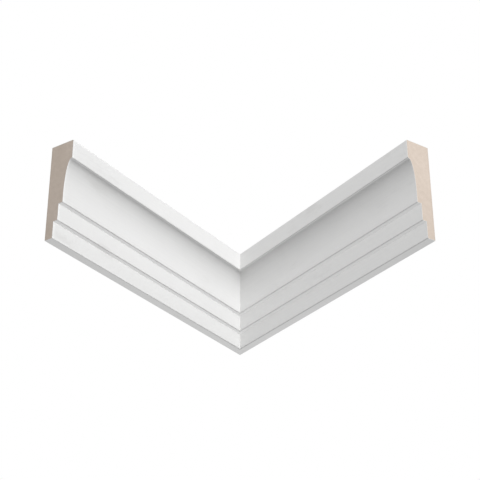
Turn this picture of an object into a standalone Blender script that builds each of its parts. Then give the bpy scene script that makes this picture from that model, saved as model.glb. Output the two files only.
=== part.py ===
"""A cornice moulding in an inside corner: two straight lengths of one profile, mitred together.

Both lengths are primed MDF. Z is up, and the moulding rests on its flat underside at Z = 0. The wall
corner is at the far side (+Y), the two lengths come forward from it to the left (-X) and the right
(+X), and their moulded faces look at each other. Metres throughout.
"""
import math

import bmesh
import bpy

# Sizes of the profile, as a stack of heights from the underside to the top
PLINTH_HEIGHT = 0.0165
BAND_HEIGHT = 0.0165
COVE_FOOT_HEIGHT = 0.008
COVE_HEIGHT = 0.035
FASCIA_HEIGHT = 0.019

# Sizes of the profile, as a stack of depths outwards from the wall
PLINTH_DEPTH = 0.0085
BAND_STEP = 0.0045
COVE_FOOT_STEP = 0.0045
COVE_PROJECTION = 0.0075

# Radius that the cutter leaves along each outside edge of the moulded face
ARRIS_RADIUS = 0.0008

# The lengths, measured along the wall from the wall corner, and the corner itself
LENGTH = 0.300
CORNER_ANGLE = math.radians(68.4)
MITRE_GAP = 0.0003

# Number of flat faces in each curve
COVE_FACES = 32
ARRIS_FACES = 4

# Faces that meet at less than this are shaded as one curve
SMOOTH_UNDER = math.radians(20)
# The saw cut counts a point this close to it as on it
CUT_TOLERANCE = 1e-7
# Two directions whose dot product passes this count as the same
SAME_WAY = 0.999

# Places of the two finishes in a length's material slots
PRIMED = 0
BARE = 1

# Finishes, as linear colours
PRIMER_COLOUR = (0.80, 0.80, 0.79)
PRIMER_ROUGHNESS = 0.55
CORE_COLOUR = (0.50, 0.41, 0.33)
CORE_ROUGHNESS = 0.9


def clear_scene():
    for thing in list(bpy.data.objects):
        bpy.data.objects.remove(thing, do_unlink=True)


def curve(centre, reach, start, end, faces):
    """Points of an ellipse from one angle to another; angle 0 is outwards and 90 is up."""
    points = []
    for step in range(faces + 1):
        angle = math.radians(start + (end - start) * step / faces)
        depth = centre[0] + reach[0] * math.cos(angle)
        height = centre[1] + reach[1] * math.sin(angle)
        points.append((depth, height))
    return points


def stepped_block(depth, foot, top):
    """A flat band of the profile: its rounded lower edge, then straight up to the block above."""
    radius = ARRIS_RADIUS
    lower_edge = curve((depth - radius, foot + radius), (radius, radius), -90, 0, ARRIS_FACES)
    return lower_edge + [(depth, top)]


def fascia_depth():
    """How far the whole moulding stands out from the wall."""
    return PLINTH_DEPTH + BAND_STEP + COVE_FOOT_STEP + COVE_PROJECTION


def profile():
    """The outline of the section as (depth from the wall, height), from the foot of the wall face."""
    radius = ARRIS_RADIUS
    band_depth = PLINTH_DEPTH + BAND_STEP
    cove_depth = band_depth + COVE_FOOT_STEP
    band_foot = PLINTH_HEIGHT
    cove_foot = band_foot + BAND_HEIGHT
    cove_start = cove_foot + COVE_FOOT_HEIGHT
    lip = cove_start + COVE_HEIGHT
    top = lip + FASCIA_HEIGHT

    outline = [(0.0, 0.0)]
    outline += stepped_block(PLINTH_DEPTH, 0.0, band_foot)
    outline += stepped_block(band_depth, band_foot, cove_foot)
    outline += stepped_block(cove_depth, cove_foot, cove_start)
    # The cove leaves its foot upright and turns out until it runs level under the lip
    cove_end = fascia_depth() - radius
    cove = curve((cove_end, cove_start), (cove_end - cove_depth, COVE_HEIGHT), 180, 90, COVE_FACES)
    outline += cove[1:]
    outline += curve((cove_end, lip + radius), (radius, radius), -90, 0, ARRIS_FACES)[1:]
    outline += curve((cove_end, top - radius), (radius, radius), 0, 90, ARRIS_FACES)
    outline.append((0.0, top))
    return outline


def corner_y():
    """Y of the wall corner, which puts the middle of the whole corner's box at Y = 0."""
    half = CORNER_ANGLE / 2
    nearest = -LENGTH * math.cos(half) - fascia_depth() * math.sin(half)
    farthest = -MITRE_GAP / 2 / math.tan(half)
    return -(nearest + farthest) / 2


def finish(name, colour, roughness):
    material = bpy.data.materials.new(name)
    material.use_nodes = True
    shader = material.node_tree.nodes["Principled BSDF"]
    shader.inputs["Base Color"].default_value = (*colour, 1.0)
    shader.inputs["Roughness"].default_value = roughness
    shader.inputs["Metallic"].default_value = 0.0
    return material


def right_length_mesh():
    """The right-hand length: drawn at the square end, extruded past the corner, then mitred."""
    half = CORNER_ANGLE / 2
    along = (math.sin(half), -math.cos(half))
    inwards = (-math.cos(half), -math.sin(half))

    bm = bmesh.new()
    outline = []
    for depth, height in profile():
        x = LENGTH * along[0] + depth * inwards[0]
        y = corner_y() + LENGTH * along[1] + depth * inwards[1]
        outline.append(bm.verts.new((x, y, height)))
    section = bm.faces.new(outline)

    # The bar runs past the corner, so that the whole of its far end is sawn off at the mitre
    grown = bmesh.ops.extrude_face_region(bm, geom=[section])
    far_end = [part for part in grown["geom"] if isinstance(part, bmesh.types.BMVert)]
    run = LENGTH + fascia_depth() / math.tan(half)
    bmesh.ops.translate(bm, verts=far_end, vec=(-along[0] * run, -along[1] * run, 0.0))

    everything = bm.verts[:] + bm.edges[:] + bm.faces[:]
    mitre = (MITRE_GAP / 2, 0.0, 0.0)
    cut = bmesh.ops.bisect_plane(bm, geom=everything, dist=CUT_TOLERANCE, plane_co=mitre,
                                 plane_no=(1.0, 0.0, 0.0), clear_inner=True)
    rim = [part for part in cut["geom_cut"] if isinstance(part, bmesh.types.BMEdge)]
    bmesh.ops.edgeloop_fill(bm, edges=rim)
    return bm


def colour_ends(mesh):
    """The moulded face, top and underside are primed. The cut ends and the back are bare board."""
    half = CORNER_ANGLE / 2
    for polygon in mesh.polygons:
        normal = polygon.normal
        square_cut = abs(normal.x) * math.sin(half) - normal.y * math.cos(half) > SAME_WAY
        mitre_cut = abs(normal.x) > SAME_WAY
        back = abs(normal.x) * math.cos(half) + normal.y * math.sin(half) > SAME_WAY
        polygon.material_index = BARE if square_cut or mitre_cut or back else PRIMED


def length_of_moulding(name, left_hand, materials):
    bm = right_length_mesh()
    if left_hand:
        bmesh.ops.scale(bm, vec=(-1.0, 1.0, 1.0), verts=bm.verts[:])
    bmesh.ops.recalc_face_normals(bm, faces=bm.faces[:])
    mesh = bpy.data.meshes.new(name)
    bm.to_mesh(mesh)
    bm.free()
    for material in materials:
        mesh.materials.append(material)
    colour_ends(mesh)
    mesh.shade_smooth()
    mesh.set_sharp_from_angle(angle=SMOOTH_UNDER)
    moulding = bpy.data.objects.new(name, mesh)
    bpy.context.scene.collection.objects.link(moulding)
    return moulding


def main():
    clear_scene()
    materials = [
        finish("white_primer", PRIMER_COLOUR, PRIMER_ROUGHNESS),
        finish("bare_board_core", CORE_COLOUR, CORE_ROUGHNESS),
    ]
    length_of_moulding("left_length", True, materials)
    length_of_moulding("right_length", False, materials)


main()
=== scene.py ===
import math

import bmesh
import bpy
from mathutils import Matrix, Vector


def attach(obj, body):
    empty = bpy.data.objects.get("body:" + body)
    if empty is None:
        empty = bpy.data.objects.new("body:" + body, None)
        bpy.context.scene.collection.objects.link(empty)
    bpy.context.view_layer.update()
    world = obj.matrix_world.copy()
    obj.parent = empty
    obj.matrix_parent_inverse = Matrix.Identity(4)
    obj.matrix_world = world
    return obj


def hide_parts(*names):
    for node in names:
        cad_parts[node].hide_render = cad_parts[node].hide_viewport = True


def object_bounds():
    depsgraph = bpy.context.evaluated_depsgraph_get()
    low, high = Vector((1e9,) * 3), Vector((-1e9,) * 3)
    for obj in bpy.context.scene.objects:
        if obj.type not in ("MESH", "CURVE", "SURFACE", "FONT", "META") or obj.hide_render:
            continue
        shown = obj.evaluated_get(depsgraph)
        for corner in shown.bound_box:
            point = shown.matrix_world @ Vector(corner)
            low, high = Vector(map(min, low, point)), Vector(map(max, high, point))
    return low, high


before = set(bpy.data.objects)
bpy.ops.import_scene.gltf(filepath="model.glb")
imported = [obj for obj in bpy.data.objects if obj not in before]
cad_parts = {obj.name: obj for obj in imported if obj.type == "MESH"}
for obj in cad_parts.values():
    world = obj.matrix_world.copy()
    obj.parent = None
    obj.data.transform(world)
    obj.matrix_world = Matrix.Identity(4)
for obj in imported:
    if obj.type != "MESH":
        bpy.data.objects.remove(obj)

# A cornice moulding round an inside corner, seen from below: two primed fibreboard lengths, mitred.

cad_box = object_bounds()

# Lie of the solids: both lengths run from the corner of the room, and leave a gap in the mitre
HALF_CORNER = math.radians(34.2)
MITRE_GAP = 0.0003
WALL_CORNER = Vector((0.0, cad_box[1][1] + MITRE_GAP / 2 / math.tan(HALF_CORNER), 0.0))
LEFT, RIGHT = -1, 1

# Camera: in front of the corner and below it, looking up. Pixels are those of the 480 x 480 photograph.
PHOTO_PIXELS = 480
SENSOR_WIDTH = 36.0
FOCAL_PIXELS = 1260
CAMERA_OUT = 1.2036
CAMERA_BELOW = 0.5187
CAMERA_PITCH = math.radians(28.53)

# Surroundings
FLOOR_DROP = 0.80
FLOOR_SIZE = 40.0
FLOOR_COLOUR = (0.74, 0.74, 0.74)
FLOOR_BOUNCE = (0.50, 0.50, 0.50)
FLOOR_ROUGHNESS = 0.8
WHITE = (1.0, 1.0, 1.0)
ROOM_LIGHT = 0.44

# Lamps: angles are in degrees, and azimuth 0 is the camera's side and grows towards the right
DISTANT_LAMPS = (
    # name, azimuth, elevation, strength, softness, casts shadows
    ("left_face_fill", 110, 28, 1.00, 10, False),
    ("right_face_fill", 250, 30, 0.55, 10, False),
    ("underside_fill", 180, -35, 0.78, 10, False),
    ("right_end_lamp", 90, 0, 1.21, 1, True),
    ("left_back_lamp", 212, 5, 1.00, 1, True),
)
KEY_AZIMUTH = 16
KEY_ELEVATION = 46
KEY_DISTANCE = 1.15
KEY_STRENGTH = 2.03
KEY_RADIUS = 0.3

# Making of the visible boards
WELD = 1e-5
FLAT_ENOUGH = math.radians(0.5)
CREASE = math.radians(30)
SAME_WAY = 0.99
NEAR_MITRE = 0.0004
HALF_HAIRLINE = 0.00002
FILM_THICKNESS = 0.00025
PRIMED, SAWN, SANDED = 0, 1, 2

# Finishes follow each point's place along the run, out from the wall and up.
# The shift gives each length its own stretch of the patterns.
BOARD_PLACE = "board_place"
PATTERN_SHIFT = 3.0

# White primer. Scales are repeats per metre, and three numbers go along the run, out and up.
PRIMER_COLOURS = ((0.710, 0.710, 0.706), (0.745, 0.745, 0.740))
PRIMER_SCUFF = (0.680, 0.678, 0.670)
PRIMER_ROUGHNESS = (0.46, 0.58)
PRIMER_RELIEF = 0.00003
PRIMER_CLOUD_SCALE = 26.0
STREAK_SCALE = (7.0, 620.0, 620.0)
PEEL_SCALE = 900.0
NIB_SCALE = 140.0
NIB_SIZE = 0.06
SCUFF_SCALE = (14.0, 60.0, 60.0)

# Bare fibreboard
FIBRE_COLOURS = ((0.568, 0.480, 0.404), (0.706, 0.610, 0.532))
FLECK_COLOUR = (0.360, 0.285, 0.220)
SAWN_FIBRE_SCALE = (1300.0, 2400.0, 620.0)
SANDED_FIBRE_SCALE = (700.0, 1500.0, 900.0)
CLUMP_SCALE = 240.0
FIBRE_CLOUD_SCALE = 42.0
FLECKS_TO_FIBRES = 0.45
FLECK_SHIFT = (0.4, 0.2, 0.1)
BARE_ROUGHNESS = (0.84, 0.96)

# Sawn ends. The blade's axis was behind the wall side of the board and some way up.
BOARD_THICKNESS = 0.025
SKIN_DEPTH = 0.0018
SKIN_SHADE = (0.93, 0.93, 0.93)
SAW_BEHIND = 0.125
SAW_UP = 0.03
SAW_PITCH = 0.0014
SAW_ARC_TINT = 0.05
WAVE_RADIANS_PER_METRE = 20
SAWN_RELIEF = 0.00006

# Sanded back
SANDING_SCALE = (9.0, 480.0, 480.0)
SANDING_TINT = 0.30
BACK_SHADE = (0.82, 0.82, 0.82)
SANDED_RELIEF = 0.00003


# Nodes

def add_node(tree, kind, settings=None, **sockets):
    """Adds a shader node and fills its named sockets, each with a value or another node's output."""
    made = tree.nodes.new(kind)
    for setting, value in (settings or {}).items():
        setattr(made, setting, value)
    for socket, value in sockets.items():
        target = made.inputs[socket.replace("_", " ")]
        if isinstance(value, bpy.types.NodeSocket):
            tree.links.new(value, target)
        else:
            target.default_value = value
    return made


def stretched(tree, place, scale=(1.0, 1.0, 1.0), shift=(0.0, 0.0, 0.0)):
    made = add_node(tree, "ShaderNodeMapping", Vector=place, Scale=scale, Location=shift)
    return made.outputs["Vector"]


def noise(tree, place, scale, detail=3.0, roughness=0.5, shift=(0.0, 0.0, 0.0)):
    """A noise pattern, alike in all directions, or stretched where the scale is three numbers."""
    if isinstance(scale, tuple):
        place = stretched(tree, place, scale, shift)
        scale = 1.0
    made = add_node(tree, "ShaderNodeTexNoise", Vector=place, Scale=scale, Detail=detail, Roughness=roughness)
    return made.outputs["Fac"]


def spread(tree, value, low, high, to_low=0.0, to_high=1.0):
    """Stretches the part of a value between low and high over the range from to_low to to_high."""
    made = add_node(tree, "ShaderNodeMapRange", Value=value)
    for socket, number in zip(("From Min", "From Max", "To Min", "To Max"), (low, high, to_low, to_high)):
        made.inputs[socket].default_value = number
    return made.outputs["Result"]


def blend_colours(tree, share, first, second, kind="MIX"):
    made = tree.nodes.new("ShaderNodeMix")
    made.data_type = "RGBA"
    made.blend_type = kind
    for socket, value in ((made.inputs[0], share), (made.inputs[6], first), (made.inputs[7], second)):
        if isinstance(value, bpy.types.NodeSocket):
            tree.links.new(value, socket)
        elif isinstance(value, tuple):
            socket.default_value = (*value, 1.0)
        else:
            socket.default_value = value
    return made.outputs[2]


def sum_of(tree, *weighted):
    """Adds up values, each times its own share."""
    total = None
    for value, share in weighted:
        made = add_node(tree, "ShaderNodeMath", {"operation": "MULTIPLY_ADD"})
        tree.links.new(value, made.inputs[0])
        made.inputs[1].default_value = share
        made.inputs[2].default_value = 0.0
        if total is not None:
            tree.links.new(total, made.inputs[2])
        total = made.outputs["Value"]
    return total


def new_finish(name):
    """A material with its shader, and the place on the board that its pattern follows."""
    material = bpy.data.materials.new(name)
    material.use_nodes = True
    tree = material.node_tree
    place = add_node(tree, "ShaderNodeAttribute", {"attribute_name": BOARD_PLACE}).outputs["Vector"]
    return material, tree, tree.nodes["Principled BSDF"], place


def give_relief(tree, shader, height, distance):
    bump = add_node(tree, "ShaderNodeBump", Height=height, Distance=distance, Strength=1.0)
    tree.links.new(bump.outputs["Normal"], shader.inputs["Normal"])


# Finishes

def white_primer():
    """Factory primer: satin white, with faint streaks along the run, orange peel, dust nibs and scuffs."""
    material, tree, shader, place = new_finish("white_primer")
    clouds = noise(tree, place, PRIMER_CLOUD_SCALE, detail=2.0)
    streaks = noise(tree, place, STREAK_SCALE, detail=4.0, roughness=0.6)
    tint = sum_of(tree, (clouds, 0.6), (streaks, 0.4))
    white = blend_colours(tree, spread(tree, tint, 0.38, 0.62), *PRIMER_COLOURS)
    rubbed = noise(tree, place, SCUFF_SCALE, detail=5.0, roughness=0.65)
    scuffs = spread(tree, rubbed, 0.60, 0.74)
    tree.links.new(blend_colours(tree, scuffs, white, PRIMER_SCUFF), shader.inputs["Base Color"])
    dull = sum_of(tree, (tint, 0.8), (scuffs, 0.4))
    tree.links.new(spread(tree, dull, 0.2, 0.8, *PRIMER_ROUGHNESS), shader.inputs["Roughness"])
    peel = noise(tree, place, PEEL_SCALE, detail=2.0)
    specks = add_node(tree, "ShaderNodeTexVoronoi", Vector=place, Scale=NIB_SCALE).outputs["Distance"]
    nibs = spread(tree, specks, 0.0, NIB_SIZE, 1.0, 0.0)
    give_relief(tree, shader, sum_of(tree, (peel, 0.35), (streaks, 0.35), (nibs, 0.5)), PRIMER_RELIEF)
    return material


def fibre_colour(tree, place, scale):
    """Pale brown wood fibre: fine and coarse clumps, wide faint clouds and a few dark flecks of bark."""
    fibres = noise(tree, place, scale, detail=5.0, roughness=0.7)
    clumps = noise(tree, place, CLUMP_SCALE, detail=2.0)
    clouds = noise(tree, place, FIBRE_CLOUD_SCALE)
    body = sum_of(tree, (fibres, 0.50), (clumps, 0.28), (clouds, 0.22))
    colour = blend_colours(tree, spread(tree, body, 0.33, 0.67), *FIBRE_COLOURS)
    fleck_scale = tuple(FLECKS_TO_FIBRES * size for size in scale)
    bark = noise(tree, place, fleck_scale, shift=FLECK_SHIFT)
    flecks = spread(tree, bark, 0.70, 0.80)
    return blend_colours(tree, flecks, colour, FLECK_COLOUR), body


def sawn_fibreboard():
    """A saw-cut end: fibres that lie in the board's plane, denser skins and faint arcs of the blade."""
    material, tree, shader, place = new_finish("sawn_fibreboard")
    colour, body = fibre_colour(tree, place, SAWN_FIBRE_SCALE)
    out = add_node(tree, "ShaderNodeSeparateXYZ", Vector=place).outputs["Y"]
    back_skin = spread(tree, out, 0.0, SKIN_DEPTH, 1.0, 0.0)
    front_skin = spread(tree, out, BOARD_THICKNESS - SKIN_DEPTH, BOARD_THICKNESS)
    skins = sum_of(tree, (back_skin, 1.0), (front_skin, 1.0))
    colour = blend_colours(tree, skins, colour, SKIN_SHADE, "MULTIPLY")
    from_axis = stretched(tree, place, shift=(0.0, SAW_BEHIND, -SAW_UP))
    scale = 2 * math.pi / (WAVE_RADIANS_PER_METRE * SAW_PITCH)
    rings = add_node(tree, "ShaderNodeTexWave", {"wave_type": "RINGS", "rings_direction": "X"},
                     Vector=from_axis, Scale=scale, Distortion=1.2, Detail=2.0)
    arcs = rings.outputs["Fac"]
    arc_tint = spread(tree, arcs, 0.0, 1.0, 0.0, SAW_ARC_TINT)
    tree.links.new(blend_colours(tree, arc_tint, colour, FLECK_COLOUR), shader.inputs["Base Color"])
    tree.links.new(spread(tree, body, 0.3, 0.7, *BARE_ROUGHNESS), shader.inputs["Roughness"])
    give_relief(tree, shader, sum_of(tree, (body, 0.7), (arcs, 0.3)), SAWN_RELIEF)
    return material


def sanded_fibreboard():
    """The bare back: smooth, closed fibreboard with fine sanding marks along the run."""
    material, tree, shader, place = new_finish("sanded_fibreboard")
    colour, body = fibre_colour(tree, place, SANDED_FIBRE_SCALE)
    scratches = noise(tree, place, SANDING_SCALE, detail=4.0, roughness=0.6)
    paler = spread(tree, scratches, 0.4, 0.7, 0.0, SANDING_TINT)
    colour = blend_colours(tree, paler, colour, FIBRE_COLOURS[1])
    colour = blend_colours(tree, 1.0, colour, BACK_SHADE, "MULTIPLY")
    tree.links.new(colour, shader.inputs["Base Color"])
    tree.links.new(spread(tree, scratches, 0.3, 0.7, *BARE_ROUGHNESS), shader.inputs["Roughness"])
    give_relief(tree, shader, sum_of(tree, (body, 0.4), (scratches, 0.6)), SANDED_RELIEF)
    return material


def floor_finish():
    """Pale paper, which throws back less light than it shows, so that the cove keeps its shade."""
    material = bpy.data.materials.new("floor_paper")
    material.use_nodes = True
    tree = material.node_tree
    seen = add_node(tree, "ShaderNodeLightPath").outputs["Is Camera Ray"]
    shader = tree.nodes["Principled BSDF"]
    tree.links.new(blend_colours(tree, seen, FLOOR_BOUNCE, FLOOR_COLOUR), shader.inputs["Base Color"])
    shader.inputs["Roughness"].default_value = FLOOR_ROUGHNESS
    return material


# The two lengths

def run_way(side):
    """The way that a length runs from the corner."""
    return Vector((side * math.sin(HALF_CORNER), -math.cos(HALF_CORNER), 0.0))


def room_way(side):
    """The way that a length's moulded face looks, straight out from its wall."""
    return Vector((-side * math.cos(HALF_CORNER), -math.sin(HALF_CORNER), 0.0))


def clean_outline(node):
    """A CAD length as one whole shell: its loose triangles welded, and its flat faces put together."""
    bm = bmesh.new()
    bm.from_mesh(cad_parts[node].data)
    bmesh.ops.remove_doubles(bm, verts=bm.verts[:], dist=WELD)
    bmesh.ops.dissolve_limit(bm, angle_limit=FLAT_ENOUGH, verts=bm.verts[:], edges=bm.edges[:])
    return bm


def close_mitre(bm, side):
    """Slides the mitred end along the run until only a hairline shows at the joint."""
    for point in bm.verts:
        if abs(point.co.x) < NEAR_MITRE:
            point.co -= run_way(side) * ((abs(point.co.x) - HALF_HAIRLINE) / math.sin(HALF_CORNER))


def choose_finishes(bm, side):
    """Bare board on both cut ends and the back, primer on the rest. Returns the square end's face."""
    square_end = None
    for face in bm.faces:
        face.smooth = True
        if face.normal.dot(run_way(side)) > SAME_WAY:
            square_end = face
            face.material_index = SAWN
        elif abs(face.normal.x) > SAME_WAY:
            face.material_index = SAWN
        elif face.normal.dot(room_way(side)) < -SAME_WAY:
            face.material_index = SANDED
        else:
            face.material_index = PRIMED
    return square_end


def show_film_edge(bm, side, square_end):
    """A thin edge of the primer film round the sawn end, except along the bare back."""
    ring = bmesh.ops.inset_region(bm, faces=[square_end], thickness=FILM_THICKNESS, use_even_offset=True,
                                  use_boundary=True)["faces"]
    for face in ring:
        out = (face.calc_center_median() - WALL_CORNER).dot(room_way(side))
        face.material_index = SAWN if out < FILM_THICKNESS else PRIMED


def note_place(bm, side):
    """Writes down where each point lies on its length, for the finishes to follow."""
    place = bm.verts.layers.float_vector.new(BOARD_PLACE)
    for point in bm.verts:
        from_corner = point.co - WALL_CORNER
        along = from_corner.dot(run_way(side)) + side * PATTERN_SHIFT
        point[place] = (along, from_corner.dot(room_way(side)), from_corner.z)


def board(name, node, side, finishes):
    """The visible board of one length, in place of its solid."""
    bm = clean_outline(node)
    close_mitre(bm, side)
    square_end = choose_finishes(bm, side)
    show_film_edge(bm, side, square_end)
    note_place(bm, side)
    mesh = bpy.data.meshes.new(name)
    bm.to_mesh(mesh)
    bm.free()
    mesh.set_sharp_from_angle(angle=CREASE)
    for finish in finishes:
        mesh.materials.append(finish)
    piece = bpy.data.objects.new(name, mesh)
    bpy.context.scene.collection.objects.link(piece)
    even_shading = piece.modifiers.new("even_shading", "WEIGHTED_NORMAL")
    even_shading.keep_sharp = True
    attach(piece, "root")
    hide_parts(node)


# Camera and surroundings

def camera():
    data = bpy.data.cameras.new("camera")
    data.sensor_width = SENSOR_WIDTH
    data.lens = FOCAL_PIXELS * SENSOR_WIDTH / PHOTO_PIXELS
    seen_from = bpy.data.objects.new("camera", data)
    seen_from.location = (0.0, cad_box[1][1] - CAMERA_OUT, -CAMERA_BELOW)
    seen_from.rotation_euler = (math.pi / 2 + CAMERA_PITCH, 0.0, 0.0)
    bpy.context.scene.collection.objects.link(seen_from)
    bpy.context.scene.camera = seen_from


def white_surroundings():
    """A white backdrop for the camera, which itself gives only a little light."""
    world = bpy.data.worlds.new("white_room")
    world.use_nodes = True
    tree = world.node_tree
    seen = add_node(tree, "ShaderNodeLightPath").outputs["Is Camera Ray"]
    backdrop = tree.nodes["Background"]
    tree.links.new(spread(tree, seen, 0.0, 1.0, ROOM_LIGHT, 1.0), backdrop.inputs["Strength"])
    backdrop.inputs["Color"].default_value = (*WHITE, 1.0)
    bpy.context.scene.world = world


def toward(azimuth, elevation):
    """The way from the moulding to a lamp."""
    around = math.radians(azimuth)
    up = math.radians(elevation)
    return Vector((math.sin(around) * math.cos(up), -math.cos(around) * math.cos(up), math.sin(up)))


def add_lamp(name, kind, casts_shadows):
    data = bpy.data.lights.new(name, kind)
    data.use_shadow = casts_shadows
    lamp = bpy.data.objects.new(name, data)
    lamp.visible_camera = False
    bpy.context.scene.collection.objects.link(lamp)
    return lamp, data


def distant_lamps():
    """Even light from far away, which shows no fall-off along the lengths."""
    for name, azimuth, elevation, strength, softness, casts_shadows in DISTANT_LAMPS:
        lamp, data = add_lamp(name, "SUN", casts_shadows)
        data.energy = strength
        data.angle = math.radians(softness)
        lamp.rotation_euler = toward(azimuth, elevation).to_track_quat("Z", "Y").to_euler()


def key_lamp():
    """A round studio lamp in front and above, near enough to even out the light that the lengths swap."""
    lamp, data = add_lamp("key", "POINT", casts_shadows=False)
    data.energy = 4 * math.pi * KEY_DISTANCE ** 2 * KEY_STRENGTH
    data.shadow_soft_size = KEY_RADIUS
    middle = (Vector(cad_box[0]) + Vector(cad_box[1])) / 2
    lamp.location = middle + toward(KEY_AZIMUTH, KEY_ELEVATION) * KEY_DISTANCE


def pale_floor():
    bm = bmesh.new()
    bmesh.ops.create_grid(bm, x_segments=1, y_segments=1, size=FLOOR_SIZE / 2)
    bmesh.ops.translate(bm, verts=bm.verts[:], vec=(0.0, 0.0, -FLOOR_DROP))
    mesh = bpy.data.meshes.new("floor")
    bm.to_mesh(mesh)
    bm.free()
    mesh.materials.append(floor_finish())
    floor = bpy.data.objects.new("floor", mesh)
    bpy.context.scene.collection.objects.link(floor)


def main():
    finishes = (white_primer(), sawn_fibreboard(), sanded_fibreboard())
    board("left_board", "left_length", LEFT, finishes)
    board("right_board", "right_length", RIGHT, finishes)
    camera()
    white_surroundings()
    distant_lamps()
    key_lamp()
    pale_floor()
    bpy.context.scene.view_settings.view_transform = "Standard"


main()
